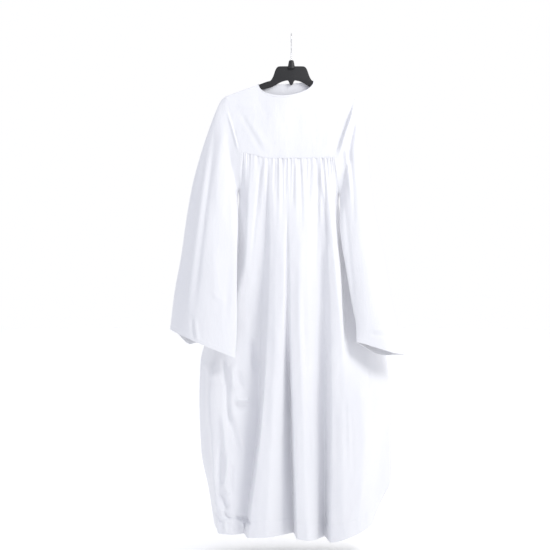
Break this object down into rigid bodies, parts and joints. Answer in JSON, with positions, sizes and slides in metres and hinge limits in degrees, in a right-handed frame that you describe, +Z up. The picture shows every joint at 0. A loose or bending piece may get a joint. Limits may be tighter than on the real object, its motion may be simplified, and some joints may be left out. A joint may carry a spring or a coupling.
{
  "type": "baptismal gown on hanger",
  "caption": "White full-length baptismal gown with round neck, smooth yoke, gathered skirt and wide bell sleeves, on a black hanger with a wire hook.",
  "frame": {"origin": "inside top of the hanger's wire hook, where a rail or peg carries it", "axes": "+Z up, -Y out of the gown's front, +X to the right as seen from the front"},
  "size_m": [0.7312, 0.246, 1.5754],
  "materials": {
    "gown_cloth": "plain weave, soft matt",
    "hanger_plastic": "fine textured black",
    "hook_wire": "bright"
  },
  "bodies": {
    "root": {"yoke_front": "gown_cloth", "yoke_back_left": "gown_cloth", "yoke_back_right": "gown_cloth", "skirt_front": "gown_cloth", "skirt_back_left": "gown_cloth", "skirt_back_right": "gown_cloth", "sleeve_left_front": "gown_cloth", "sleeve_left_back": "gown_cloth", "sleeve_right_front": "gown_cloth", "sleeve_right_back": "gown_cloth", "hanger": "hanger_plastic", "hanger_hook": "hook_wire"}
  },
  "joints": []
}
